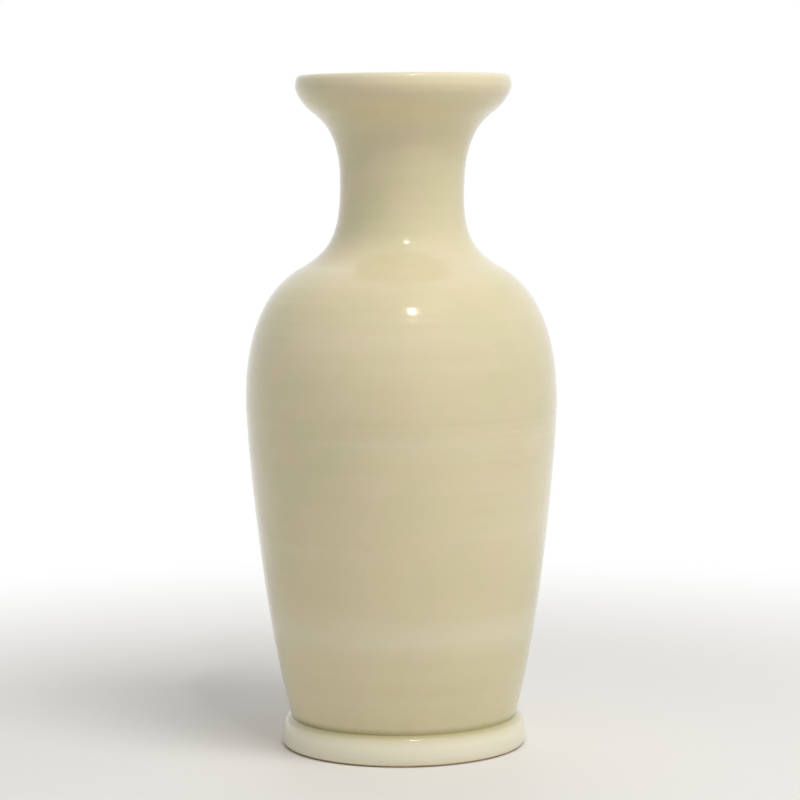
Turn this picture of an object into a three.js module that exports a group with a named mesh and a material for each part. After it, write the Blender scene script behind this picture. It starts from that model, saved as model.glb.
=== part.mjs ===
import * as THREE from 'three';

// A tall baluster floor vase, built as large vases are: sections thrown one by one and
// luted with slip, each joint keyed by a ridge under a groove, over a turned foot ring.
// Millimetres, +Z up, origin on the floor at the middle of the foot.

// Radii of the main forms
const footJointRadius = 103.3; // where the wall springs from the foot ring
const bellyRadius = 142;
const shoulderRadius = 88.8; // where the shoulder turns into the neck
const waistRadius = 56.6;
const flareRadius = 81.5; // where the trumpet turns over towards the lip
const lipRadius = 98.1;

// Rises from each form to the next, from the floor up
const footHeight = 27;
const footToBelly = 287.5;
const bellyToShoulder = 123.5;
const shoulderToWaist = 71;
const waistToFlare = 67;
const flareToLip = 24.5;
const lipCrown = 9.5; // the rounded crown above the lip's widest line

// Lean of the wall, as growth of radius for each millimetre of rise
const footLean = 0.28;
const shoulderLean = -1.82;
const flareLean = 1.36;

// Pull of the curve along its tangent, below and above each form
const footPull = 96;
const bellyPullBelow = 25.5;
const bellyPullAbove = 70;
const shoulderPullBelow = 36;
const shoulderPullAbove = 33;
const waistPullBelow = 33;
const waistPullAbove = 29;
const flarePullBelow = 24.5;
const flarePullAbove = 12.5;
const lipPull = 6;

// Wall, and the luted joints between the thrown sections
const wallThickness = 8;
const slipGap = 0.3; // slip left between two sections
const keySize = 1.5; // height and half width of the ridge that centres a joint
const bodySeamDrop = 95; // body joint, below the belly
const neckSeamRise = 14; // neck joint, above the shoulder's turn
const mouthSeamDrop = 24; // mouth joint, below the flare's turn

// Foot ring, with a rounded bead outside, and the base that it carries
const beadOverhang = 9; // how far the bead stands out from the wall
const beadLevel = 8; // level of the bead's widest line
const beadUnderRound = 4.2; // how far the bead rounds in under that line
const restWidth = 11.5; // flat ring that stands on the floor
const footChamfer = 2; // trimmed inner edge of that ring
const recessDepth = 13; // hollow under the base
const baseSeatWidth = 4; // ledge that the base rests on

// Fineness of the facets
const turns = 48;
const bodySteps = 12;
const shoulderSteps = 10;
const neckSteps = 8;
const lipSteps = 5;
const crownSteps = 6;
const beadTopSteps = 6;
const beadUnderSteps = 3;
const shortestFacet = 1;

// Levels that follow from the rises
const bellyLevel = footHeight + footToBelly;
const shoulderLevel = bellyLevel + bellyToShoulder;
const waistLevel = shoulderLevel + shoulderToWaist;
const flareLevel = waistLevel + waistToFlare;
const lipLevel = flareLevel + flareToLip;

const point = (radius, level) => new THREE.Vector2(radius, level);

// A form of the outline: a place on it and the direction in which the wall runs there
const form = (radius, level, lean) => ({
  place: point(radius, level),
  heading: point(lean, 1).normalize(),
});

const curve = (lower, pullAbove, upper, pullBelow) => new THREE.CubicBezierCurve(
  lower.place,
  lower.place.clone().addScaledVector(lower.heading, pullAbove),
  upper.place.clone().addScaledVector(upper.heading, -pullBelow),
  upper.place,
);

const foot = form(footJointRadius, footHeight, footLean);
const belly = form(bellyRadius, bellyLevel, 0);
const shoulder = form(shoulderRadius, shoulderLevel, shoulderLean);
const waist = form(waistRadius, waistLevel, 0);
const flare = form(flareRadius, flareLevel, flareLean);
const lip = form(lipRadius, lipLevel, 0);

const profile = [
  { line: curve(foot, footPull, belly, bellyPullBelow), steps: bodySteps },
  { line: curve(belly, bellyPullAbove, shoulder, shoulderPullBelow), steps: shoulderSteps },
  { line: curve(shoulder, shoulderPullAbove, waist, waistPullBelow), steps: neckSteps },
  { line: curve(waist, waistPullAbove, flare, flarePullBelow), steps: neckSteps },
  { line: curve(flare, flarePullAbove, lip, lipPull), steps: lipSteps },
];

// Outside of the wall, and its inside one wall thickness in, square to the outside
const outside = [];
const inside = [];
for (const { line, steps } of profile) {
  for (let step = outside.length > 0 ? 1 : 0; step <= steps; step += 1) {
    const place = line.getPoint(step / steps);
    const heading = line.getTangent(step / steps);
    const inward = point(-heading.y, heading.x);
    outside.push(place);
    inside.push(place.clone().addScaledVector(inward, wallThickness));
  }
}

const radiusAt = (side, level) => {
  const above = side.findIndex((place) => place.y > level);
  const next = above < 0 ? side.length - 1 : Math.max(above, 1);
  const from = side[next - 1];
  const to = side[next];
  return THREE.MathUtils.mapLinear(level, from.y, to.y, from.x, to.x);
};

// The stretch of one side between two levels, from the lower to the upper
const stretch = (side, low, high) => [
  point(radiusAt(side, low), low),
  ...side.filter(({ y }) => y > low + shortestFacet && y < high - shortestFacet),
  point(radiusAt(side, high), high),
];

// A keyed joint: its ridge points up from the lower section, in the middle of the wall
const joint = (level) => ({
  level,
  keyRadius: (radiusAt(outside, level) + radiusAt(inside, level)) / 2,
});

const ridge = ({ level, keyRadius }) => [
  point(keyRadius + keySize, level),
  point(keyRadius, level + keySize),
  point(keyRadius - keySize, level),
];

// The groove clears the ridge by the slip gap, square to its slopes as well as at its foot
const groove = ({ level, keyRadius }) => {
  const size = keySize + slipGap * (Math.SQRT2 - 1);
  const floor = level + slipGap;
  return [
    point(keyRadius - size, floor),
    point(keyRadius, floor + size),
    point(keyRadius + size, floor),
  ];
};

const restOuterRadius = footJointRadius + beadOverhang - beadUnderRound;
const restInnerRadius = restOuterRadius - restWidth;
const recessRadius = restInnerRadius - footChamfer;
const seatRadius = recessRadius + baseSeatWidth;

const footJoint = { level: footHeight, keyRadius: (seatRadius + footJointRadius) / 2 };
const bodyJoint = joint(bellyLevel - bodySeamDrop);
const neckJoint = joint(shoulderLevel + neckSeamRise);
const mouthJoint = joint(flareLevel - mouthSeamDrop);

// Outlines run up the outside, in over the top, down the inside and out along the bottom
const sectionOutline = (lowerJoint, upperJoint) => {
  const low = lowerJoint.level + slipGap;
  const high = upperJoint.level;
  return [
    ...stretch(outside, low, high),
    ...ridge(upperJoint),
    ...stretch(inside, low, high).reverse(),
    ...groove(lowerJoint),
  ];
};

const mouthOutline = () => {
  const low = mouthJoint.level + slipGap;
  const half = wallThickness / 2;
  const crown = new THREE.EllipseCurve(lipRadius - half, lipLevel, half, lipCrown, 0, Math.PI);
  return [
    ...stretch(outside, low, lipLevel),
    ...crown.getPoints(crownSteps).slice(1, -1),
    ...stretch(inside, low, lipLevel).reverse(),
    ...groove(mouthJoint),
  ];
};

const footOutline = () => {
  const under = new THREE.EllipseCurve(
    restOuterRadius, beadLevel, beadUnderRound, beadLevel, -Math.PI / 2, 0,
  );
  const over = new THREE.EllipseCurve(
    footJointRadius, beadLevel, beadOverhang, footHeight - beadLevel, 0, Math.PI / 2,
  );
  return [
    ...under.getPoints(beadUnderSteps),
    ...over.getPoints(beadTopSteps).slice(1),
    ...ridge(footJoint),
    point(seatRadius, footHeight),
    point(seatRadius, recessDepth),
    point(recessRadius, recessDepth),
    point(recessRadius, footChamfer),
    point(restInnerRadius, 0),
  ];
};

const baseOutline = () => {
  const radius = seatRadius - slipGap;
  const underside = recessDepth + slipGap;
  return [
    point(0, underside),
    point(radius, underside),
    point(radius, footHeight),
    point(0, footHeight),
  ];
};

const glaze = new THREE.MeshStandardMaterial({ color: 0xd8cdab, roughness: 0.18, metalness: 0 });
const bareClay = new THREE.MeshStandardMaterial({ color: 0xc3ab86, roughness: 0.9, metalness: 0 });

const vase = new THREE.Group();

const addTurned = (name, outline, material) => {
  const geometry = new THREE.LatheGeometry(outline, turns);
  geometry.rotateX(Math.PI / 2);
  const mesh = new THREE.Mesh(geometry, material);
  mesh.name = name;
  vase.add(mesh);
};

const addRing = (name, outline, material) => addTurned(name, [...outline, outline[0]], material);

addRing('foot_ring', footOutline(), glaze);
addTurned('base_floor', baseOutline(), bareClay);
addRing('lower_body', sectionOutline(footJoint, bodyJoint), glaze);
addRing('upper_body', sectionOutline(bodyJoint, neckJoint), glaze);
addRing('neck', sectionOutline(neckJoint, mouthJoint), glaze);
addRing('mouth_rim', mouthOutline(), glaze);

export default vase;
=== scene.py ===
import math

import bpy
from mathutils import Matrix, Vector


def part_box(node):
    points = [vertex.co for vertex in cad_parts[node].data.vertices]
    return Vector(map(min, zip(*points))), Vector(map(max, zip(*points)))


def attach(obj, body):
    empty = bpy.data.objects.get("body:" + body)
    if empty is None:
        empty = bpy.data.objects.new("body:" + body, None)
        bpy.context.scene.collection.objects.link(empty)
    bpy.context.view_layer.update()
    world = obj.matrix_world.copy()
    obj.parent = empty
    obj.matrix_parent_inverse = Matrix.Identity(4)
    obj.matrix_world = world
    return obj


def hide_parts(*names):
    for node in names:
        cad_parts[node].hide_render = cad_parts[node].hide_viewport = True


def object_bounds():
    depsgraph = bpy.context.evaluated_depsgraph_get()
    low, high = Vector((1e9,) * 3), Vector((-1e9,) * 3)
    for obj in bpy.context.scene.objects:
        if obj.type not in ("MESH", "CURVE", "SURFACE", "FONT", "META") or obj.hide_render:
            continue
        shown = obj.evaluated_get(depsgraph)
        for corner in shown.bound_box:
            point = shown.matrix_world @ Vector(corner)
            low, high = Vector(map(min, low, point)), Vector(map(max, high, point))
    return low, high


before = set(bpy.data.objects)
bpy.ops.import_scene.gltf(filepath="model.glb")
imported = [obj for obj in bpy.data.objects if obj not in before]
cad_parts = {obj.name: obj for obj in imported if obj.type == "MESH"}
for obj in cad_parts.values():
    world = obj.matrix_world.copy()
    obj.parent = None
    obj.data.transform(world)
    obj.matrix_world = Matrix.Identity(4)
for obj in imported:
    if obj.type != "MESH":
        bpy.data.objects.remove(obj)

# A tall baluster floor vase in a glossy cream glaze. Metres, +Z up, the camera looks along +Y.

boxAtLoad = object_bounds()
print("frame loaded")

# Colours are as the eye reads them, red, green and blue out of 255

screenCurve = {"full": 255, "toe": 0.04045, "toeSlope": 12.92, "offset": 0.055, "power": 2.4}


def linear(value):
    share = value / screenCurve["full"]
    if share <= screenCurve["toe"]:
        return share / screenCurve["toeSlope"]
    return ((share + screenCurve["offset"]) / (1 + screenCurve["offset"])) ** screenCurve["power"]


def paint(colour):
    return (*(linear(value) for value in colour), 1.0)


# Shader maths


class Flow:
    # one output socket, with which shader maths reads as plain expressions
    def __init__(self, wiring, socket):
        self.wiring = wiring
        self.socket = socket

    def __add__(self, other):
        return self.wiring.work("ADD", self, other)

    __radd__ = __add__

    def __sub__(self, other):
        return self.wiring.work("SUBTRACT", self, other)

    def __rsub__(self, other):
        return self.wiring.work("SUBTRACT", other, self)

    def __mul__(self, other):
        return self.wiring.work("MULTIPLY", self, other)

    __rmul__ = __mul__


class Wiring:
    def __init__(self, tree):
        self.tree = tree

    def add(self, kind, settings=None, sockets=None, output=0):
        node = self.tree.nodes.new(kind)
        for name, value in (settings or {}).items():
            setattr(node, name, value)
        self.feed(node, sockets or {})
        return Flow(self, node.outputs[output])

    def feed(self, node, sockets):
        for name, value in sockets.items():
            if isinstance(value, Flow):
                self.tree.links.new(value.socket, node.inputs[name])
            else:
                node.inputs[name].default_value = value

    def work(self, operation, first, second):
        return self.add("ShaderNodeMath", {"operation": operation}, {0: first, 1: second})

    def blend(self, share, first, second):
        # sockets 6 and 7 and output 2 are the colour ones of this node
        return self.add("ShaderNodeMix", {"data_type": "RGBA"}, {0: share, 6: first, 7: second}, 2)

    def fade(self, value, low, high):
        sockets = {"Value": value, "From Min": low, "From Max": high}
        return self.add("ShaderNodeMapRange", {"interpolation_type": "SMOOTHSTEP"}, sockets)

    def noise(self, place, kind):
        sockets = {"Vector": place, "Scale": kind["scale"], "Detail": kind["detail"]}
        return self.add("ShaderNodeTexNoise", None, sockets)

    def patches(self, place, kind):
        return self.fade(self.noise(place, kind), kind["from"], kind["to"]) * kind["share"]

    def place(self):
        return self.add("ShaderNodeTexCoord", output="Object")

    def height(self, place):
        return self.add("ShaderNodeSeparateXYZ", None, {0: place}, "Z")

    def bump(self, height, strength, depth, normal=None):
        sockets = {"Height": height, "Strength": strength, "Distance": depth}
        if normal:
            sockets["Normal"] = normal
        return self.add("ShaderNodeBump", None, sockets)

    def seenPlainly(self):
        # one for what the camera sees straight on, in a gloss or through glass
        kinds = ("Is Camera Ray", "Is Glossy Ray", "Is Transmission Ray")
        rays = [self.add("ShaderNodeLightPath", output=kind) for kind in kinds]
        return self.work("MAXIMUM", self.work("MAXIMUM", rays[0], rays[1]), rays[2])


def newFinish(name):
    material = bpy.data.materials.new(name)
    material.use_nodes = True
    return material, Wiring(material.node_tree), material.node_tree.nodes["Principled BSDF"]


glazeLook = {
    "cream": (220, 208, 168), "green": (203, 198, 154), "pink": (224, 204, 172),
    "pale": (236, 230, 206), "shadeTint": (176, 168, 122), "speck": (150, 128, 92),
    "cloud": {"scale": 7.0, "detail": 4.0, "from": 0.38, "to": 0.66, "share": 0.55},
    "mottle": {"scale": 26.0, "detail": 5.0, "from": 0.42, "to": 0.70, "share": 0.42},
    "streak": {"scale": 3.0, "detail": 3.0, "from": 0.40, "to": 0.80, "share": 0.16},
    "streakSquash": 14.0,  # draws the streaks out round the pot
    "specks": {"scale": 420.0, "detail": 1.0, "from": 0.74, "to": 0.80, "share": 0.22},
    "bandLevel": 0.115, "bandReach": 0.03, "bandShare": 0.30,
    "beadFrom": 0.016, "beadTo": 0.0265, "beadHighlightShare": 0.90,  # painted highlight, the bead drawn paler as if its top were lit
    "creaseRise": 0.007, "creaseDrop": 0.005, "creaseShadeShare": 0.75,  # painted shade, darker in the crease where the wall meets the foot
    "lipHighlightDrop": 0.009, "lipHighlightShare": 0.50,  # painted highlight, the top of the lip drawn paler as if lit
    "ripple": {"scale": 24.0, "detail": 1.0, "strength": 0.35, "depth": 0.0012},
    "peel": {"scale": 330.0, "detail": 2.0, "strength": 0.25, "depth": 0.0001},
    "roughness": 0.17, "unevenRoughness": 0.10, "coat": 0.35, "coatRoughness": 0.09,
}


def creamGlaze():
    look = glazeLook
    material, wiring, shader = newFinish("creamGlaze")
    place = wiring.place()
    level = wiring.height(place)
    mottle = wiring.patches(place, look["mottle"])
    squash = {"Vector": place, "Scale": (1.0, 1.0, look["streakSquash"])}
    drawnOut = wiring.add("ShaderNodeMapping", None, squash)
    footTop = foot["height"]
    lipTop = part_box("mouth_rim")[1].z
    bandMiddle = look["bandLevel"]
    band = wiring.fade(level, bandMiddle - look["bandReach"], bandMiddle)
    band = band * (1 - wiring.fade(level, bandMiddle, bandMiddle + look["bandReach"]))
    # painted highlight: the bead is drawn paler, standing in for light on its top
    bead = 1 - wiring.fade(level, look["beadFrom"], look["beadTo"])
    # painted shade: a darker band in the crease over the foot
    crease = 1 - wiring.fade(level, footTop, footTop + look["creaseRise"])
    crease = crease * wiring.fade(level, footTop - look["creaseDrop"], footTop)
    # painted highlight: the top of the lip is drawn paler, standing in for light falling on it
    lipHighlight = wiring.fade(level, lipTop - look["lipHighlightDrop"], lipTop)
    coats = [
        (wiring.patches(place, look["cloud"]), "green"),
        (mottle, "pink"),
        (wiring.patches(drawnOut, look["streak"]), "pale"),
        (band * look["bandShare"], "pale"),
        (bead * look["beadHighlightShare"], "pale"),
        (crease * look["creaseShadeShare"], "shadeTint"),
        (lipHighlight * look["lipHighlightShare"], "pale"),
        (wiring.patches(place, look["specks"]), "speck"),
    ]
    colour = paint(look["cream"])
    for share, tint in coats:
        colour = wiring.blend(share, colour, paint(look[tint]))
    ripple, peel = look["ripple"], look["peel"]
    normal = wiring.bump(wiring.noise(place, ripple), ripple["strength"], ripple["depth"])
    normal = wiring.bump(wiring.noise(place, peel), peel["strength"], peel["depth"], normal)
    roughness = look["roughness"] + look["unevenRoughness"] * mottle
    wiring.feed(shader, {"Base Color": colour, "Roughness": roughness, "Normal": normal})
    wiring.feed(shader, {"Coat Weight": look["coat"], "Coat Roughness": look["coatRoughness"]})
    return material


clayLook = {
    "clay": (196, 170, 132), "toasted": (168, 132, 92), "dust": (214, 196, 164),
    "toast": {"scale": 40.0, "detail": 4.0, "from": 0.35, "to": 0.70, "share": 0.60},
    "grain": {"scale": 900.0, "detail": 2.0, "from": 0.55, "to": 0.70, "share": 0.50},
    "grainStrength": 0.5, "grainDepth": 0.0003,
    "roughness": 0.84, "unevenRoughness": 0.13,
}


def bareClay():
    look = clayLook
    material, wiring, shader = newFinish("bareClay")
    place = wiring.place()
    toast = wiring.patches(place, look["toast"])
    colour = wiring.blend(toast, paint(look["clay"]), paint(look["toasted"]))
    colour = wiring.blend(wiring.patches(place, look["grain"]), colour, paint(look["dust"]))
    grain = wiring.noise(place, look["grain"])
    normal = wiring.bump(grain, look["grainStrength"], look["grainDepth"])
    roughness = look["roughness"] + look["unevenRoughness"] * toast
    wiring.feed(shader, {"Base Color": colour, "Roughness": roughness, "Normal": normal})
    return material


turning = {
    "onAxis": 1e-6,  # a place nearer to the axis than this is one point
    "sharpAngle": 40,  # degrees, a steeper edge shows as an edge
}


def turned(name, outline, closed, turns, swell=None, lean=None):
    # revolves an outline of (radius, level) that runs up the outside and in over the top
    vertices = []
    rings = []
    for radius, level in outline:
        first = len(vertices)
        if radius < turning["onAxis"]:
            vertices.append((0, 0, level))
            rings.append([first] * turns)
            continue
        shift = lean(level) if lean else 0
        for turn in range(turns):
            angle = 2 * math.pi * turn / turns
            reach = radius + (swell(angle, level) if swell else 0)
            vertices.append((reach * math.cos(angle) + shift, reach * math.sin(angle), level))
        rings.append(list(range(first, first + turns)))
    faces = []
    following = rings[1:] + rings[:1] if closed else rings[1:]
    for lower, upper in zip(rings, following):
        for turn in range(turns):
            after = (turn + 1) % turns
            corners = [lower[turn], lower[after], upper[after], upper[turn]]
            faces.append(list(dict.fromkeys(corners)))
    mesh = bpy.data.meshes.new(name)
    mesh.from_pydata(vertices, [], faces)
    mesh.shade_smooth()
    mesh.set_sharp_from_angle(angle=math.radians(turning["sharpAngle"]))
    piece = bpy.data.objects.new(name, mesh)
    bpy.context.scene.collection.objects.link(piece)
    return piece


wall = {
    "footRadius": 0.1033, "footLean": 0.28, "footPull": 0.096,
    "bellyRadius": 0.142, "bellyRise": 0.2875, "bellyPulls": (0.0255, 0.070),
    "shoulderRadius": 0.0888, "shoulderRise": 0.1235, "shoulderLean": -1.82,
    "shoulderPulls": (0.036, 0.033),
    "waistRadius": 0.0566, "waistRise": 0.071, "waistPulls": (0.033, 0.029),
    "flareRadius": 0.0815, "flareRise": 0.067, "flareLean": 1.36, "flarePulls": (0.0245, 0.0125),
    "lipRadius": 0.0981, "lipRise": 0.0245, "lipPull": 0.006, "lipCrown": 0.0095,
    "thickness": 0.008,
    "steps": (120, 60, 36, 36, 16),  # places along each curve, from the foot up
    "crownSteps": 24,  # places over the lip
    "turns": 224,
    "ringDepth": 0.0003,  # throwing rings
    "ringPitches": (0.034, 0.0135, 0.0071),
    "ringShift": 300,  # sets the rings of the three pitches off against each other
    "ovalDepth": 0.0006,  # slight oval from drying
    "ovalTurn": 0.6,  # radians
    "calmRise": 0.03,  # the rings die out over this rise above the foot
    "neckLean": 0.0038,  # the mouth sits this far to the right of the foot
    "leanFrom": 0.40,  # level at which the neck starts to lean
}


def wallSides():
    # the outside of the wall, and its inside one thickness in
    def form(radius, level, lean):
        return Vector((radius, level)), Vector((lean, 1)).normalized()

    bellyLevel = foot["height"] + wall["bellyRise"]
    shoulderLevel = bellyLevel + wall["shoulderRise"]
    waistLevel = shoulderLevel + wall["waistRise"]
    flareLevel = waistLevel + wall["flareRise"]
    lipLevel = flareLevel + wall["lipRise"]
    forms = [
        form(wall["footRadius"], foot["height"], wall["footLean"]),
        form(wall["bellyRadius"], bellyLevel, 0),
        form(wall["shoulderRadius"], shoulderLevel, wall["shoulderLean"]),
        form(wall["waistRadius"], waistLevel, 0),
        form(wall["flareRadius"], flareLevel, wall["flareLean"]),
        form(wall["lipRadius"], lipLevel, 0),
    ]
    # each form pulls the curve below it and the curve above it straight for a stretch
    pulls = [wall[key] for key in ("bellyPulls", "shoulderPulls", "waistPulls", "flarePulls")]
    below = [pull[0] for pull in pulls] + [wall["lipPull"]]
    above = [wall["footPull"]] + [pull[1] for pull in pulls]
    outside = []
    inside = []
    stretches = zip(forms, forms[1:], above, below, wall["steps"])
    for (low, lowHeading), (high, highHeading), rise, drop, steps in stretches:
        corners = [low, low + lowHeading * rise, high - highHeading * drop, high]
        for step in range(1 if outside else 0, steps + 1):
            t = step / steps
            shares = [(1 - t) ** 3, 3 * t * (1 - t) ** 2, 3 * t * t * (1 - t), t ** 3]
            spot = sum((c * s for c, s in zip(corners, shares)), Vector((0, 0)))
            runs = [(1 - t) ** 2, 2 * t * (1 - t), t * t]
            legs = [b - a for a, b in zip(corners, corners[1:])]
            heading = sum((leg * s for leg, s in zip(legs, runs)), Vector((0, 0))).normalized()
            outside.append(tuple(spot))
            if step % 2 == 0:  # the inside needs half as many places
                inside.append(tuple(spot + Vector((-heading.y, heading.x)) * wall["thickness"]))
    return outside, inside, lipLevel


def arc(centre, across, up, start, end, steps):
    # a quarter or half of an ellipse, without its first place
    angles = [start + (end - start) * step / steps for step in range(1, steps + 1)]
    return [(centre[0] + across * math.cos(a), centre[1] + up * math.sin(a)) for a in angles]


def throwingMarks(angle, level):
    pitches = wall["ringPitches"]
    starts = [pitch * wall["ringShift"] for pitch in pitches]
    waves = sum(math.sin(2 * math.pi * level / pitch + start)
                for pitch, start in zip(pitches, starts))
    rings = wall["ringDepth"] * (0.5 + 0.5 * waves / len(pitches))
    oval = wall["ovalDepth"] * math.sin(angle - wall["ovalTurn"]) ** 2
    calm = min(max((level - foot["height"]) / wall["calmRise"], 0), 1)
    return -(rings + oval) * calm


def neckLean(level):
    share = min(max((level - wall["leanFrom"]) / (boxAtLoad[1][2] - wall["leanFrom"]), 0), 1)
    return wall["neckLean"] * share * share * (3 - 2 * share)


def glazedWall(glaze):
    outside, inside, lipLevel = wallSides()
    half = wall["thickness"] / 2
    centre = (wall["lipRadius"] - half, lipLevel)
    crown = arc(centre, half, wall["lipCrown"], 0, math.pi, wall["crownSteps"])
    hollow = [(radius, level) for radius, level in inside if level > foot["height"]]
    lowest = (hollow[0][0] - (hollow[0][1] - foot["height"]) * wall["footLean"], foot["height"])
    outline = outside + crown + hollow[-2::-1] + [lowest]
    piece = turned("glazed_wall", outline, True, wall["turns"], throwingMarks, neckLean)
    piece.data.materials.append(glaze)
    return piece


foot = {
    "height": 0.027, "beadOverhang": 0.009, "beadLevel": 0.008, "beadUnderRound": 0.0042,
    "restWidth": 0.0115, "chamfer": 0.002, "recessDepth": 0.013, "seatWidth": 0.004,
    "steps": 24,
    "bareShare": 0.75,  # share of the seat that stays bare
    "glazeLine": 0.0016,  # the glaze stops this high above the floor
}


def footBead(glaze, clay):
    restOuter = wall["footRadius"] + foot["beadOverhang"] - foot["beadUnderRound"]
    restInner = restOuter - foot["restWidth"]
    recess = restInner - foot["chamfer"]
    seat = recess + foot["seatWidth"]
    beadLevel = foot["beadLevel"]
    bead = arc((restOuter, beadLevel), foot["beadUnderRound"], beadLevel,
               -math.pi / 2, 0, foot["steps"])
    bead += arc((wall["footRadius"], beadLevel), foot["beadOverhang"],
                foot["height"] - beadLevel, 0, math.pi / 2, foot["steps"])
    outline = [(restOuter, 0.0)] + bead + [
        (seat, foot["height"]), (seat, foot["recessDepth"]), (recess, foot["recessDepth"]),
        (recess, foot["chamfer"]), (restInner, 0.0)]
    piece = turned("foot_bead", outline, True, wall["turns"])
    piece.data.materials.append(glaze)
    piece.data.materials.append(clay)
    bareReach = recess + foot["seatWidth"] * foot["bareShare"]
    for face in piece.data.polygons:
        reach = math.hypot(face.center.x, face.center.y)
        bare = face.center.z < foot["glazeLine"] or reach < bareReach
        face.material_index = 1 if bare else 0
    return piece


base = {
    "grooves": 9, "grooveDepth": 0.0008,  # trimming grooves below
    "floorDish": 0.002,
    "steps": 130,
}


def baseFloor(glaze, clay):
    low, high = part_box("base_floor")
    radius = high.x
    steps = base["steps"]
    underside = []
    floor = []
    for step in range(steps + 1):
        share = step / steps
        groove = math.sin(math.pi * base["grooves"] * share) ** 2 if step < steps else 0
        underside.append((radius * share, low.z + base["grooveDepth"] * groove))
        floor.append((radius * share, high.z - base["floorDish"] * math.cos(share * math.pi / 2)))
    piece = turned("base_disc", underside + floor[::-1], False, wall["turns"])
    piece.data.materials.append(clay)
    piece.data.materials.append(glaze)
    middle = (low.z + high.z) / 2
    for face in piece.data.polygons:
        face.material_index = 1 if face.center.z > middle else 0
    return piece


camera = {
    "place": (-0.00134, -2.4574, 0.5458),
    "downTilt": 5.355,  # degrees
    "roll": 0.443,  # degrees, the vase leans to the left in the picture
    "focalPixels": 2706.1,
    "picturePixels": 800,
    "sensor": 36.0,  # millimetres
}


def placeCamera():
    lens = bpy.data.cameras.new("pictureCamera")
    lens.sensor_width = camera["sensor"]
    lens.lens = camera["sensor"] * camera["focalPixels"] / camera["picturePixels"]
    holder = bpy.data.objects.new("pictureCamera", lens)
    tilt = Matrix.Rotation(math.radians(90 - camera["downTilt"]), 4, "X")
    roll = Matrix.Rotation(-math.radians(camera["roll"]), 4, "Z")
    holder.matrix_world = Matrix.Translation(camera["place"]) @ tilt @ roll
    bpy.context.scene.collection.objects.link(holder)
    bpy.context.scene.camera = holder


studio = {
    "air": 0.39,  # strength of the light from all round
    "floorColour": (236, 234, 230), "floorRadius": 14.0,
    "floorFade": (0.35, 1.15),  # the floor turns to plain white between these radii
    "floorDrop": 0.0002,  # keeps the floor clear of the foot
    "floorGrain": {"scale": 60.0, "detail": 2.0, "from": 0.0, "to": 1.0, "share": 0.1},
    "floorRoughness": 0.55, "floorTurns": 128,
    "white": (1, 1, 1, 1), "whiteStrength": 1.0,
    "aim": (0.0, 0.0, 0.33),
}

lamps = {
    "keyBox": {
        "towards": (0.36, -0.44, 0.90), "away": 2.9, "size": 1.4, "power": 44.0, "glints": False,
    },
    "sunGlint": {
        "towards": (0.13, -0.58, 0.80), "away": 3.2, "size": 0.20, "power": 8.0, "glints": True,
    },
    "rightBox": {
        "towards": (0.95, -0.25, 0.30), "away": 2.6, "size": 1.8, "power": 6.0, "glints": False,
    },
    "backBox": {
        "towards": (-0.10, 0.75, 0.80), "away": 3.0, "size": 2.4, "power": 10.0, "glints": False,
    },
}


def lightStudio():
    bpy.context.scene.view_settings.view_transform = "Standard"
    aim = Vector(studio["aim"])
    for name, lamp in lamps.items():
        light = bpy.data.lights.new(name, "AREA")
        light.shape = "DISK"
        light.size = lamp["size"]
        light.energy = lamp["power"]
        holder = bpy.data.objects.new(name, light)
        holder.visible_glossy = lamp["glints"]
        towards = Vector(lamp["towards"]).normalized()
        holder.location = aim + towards * lamp["away"]
        holder.rotation_euler = towards.to_track_quat("Z", "Y").to_euler()
        bpy.context.scene.collection.objects.link(holder)
    world = bpy.data.worlds.new("studioAir")
    world.use_nodes = True
    bpy.context.scene.world = world
    wiring = Wiring(world.node_tree)
    seen = wiring.seenPlainly()
    background = world.node_tree.nodes["Background"]
    strength = seen * (1 - studio["air"]) + studio["air"]
    wiring.feed(background, {"Color": studio["white"], "Strength": strength})


def layFloor():
    level = -studio["floorDrop"]
    outline = [(studio["floorRadius"], level), (0.0, level)]
    sheet = turned("studio_floor", outline, False, studio["floorTurns"])
    material, wiring, shader = newFinish("paleFloor")
    out = material.node_tree.nodes["Material Output"]
    place = wiring.place()
    roughness = studio["floorRoughness"] + wiring.patches(place, studio["floorGrain"])
    wiring.feed(shader, {"Base Color": paint(studio["floorColour"]), "Roughness": roughness})
    away = wiring.add("ShaderNodeVectorMath", {"operation": "LENGTH"}, {0: place}, 1)
    glow = {"Color": studio["white"], "Strength": studio["whiteStrength"]}
    white = wiring.add("ShaderNodeEmission", None, glow)
    share = wiring.seenPlainly() * wiring.fade(away, *studio["floorFade"])
    surface = Flow(wiring, shader.outputs[0])
    mixed = wiring.add("ShaderNodeMixShader", None, {0: share, 1: surface, 2: white})
    wiring.feed(out, {"Surface": mixed})
    sheet.data.materials.append(material)


placeCamera()
print("camera placed")

glaze = creamGlaze()
clay = bareClay()
print("finishes mixed")

wallPiece = glazedWall(glaze)
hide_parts("lower_body", "upper_body", "neck", "mouth_rim")
beadPiece = footBead(glaze, clay)
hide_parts("foot_ring")
basePiece = baseFloor(glaze, clay)
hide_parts("base_floor")
for piece, slot in ((wallPiece, "glaze"), (beadPiece, "glaze"), (basePiece, "bare_clay")):
    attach(piece, "root")
print("vase turned:", len(wallPiece.data.polygons), "faces in the wall")

layFloor()
lightStudio()
print("studio lit")
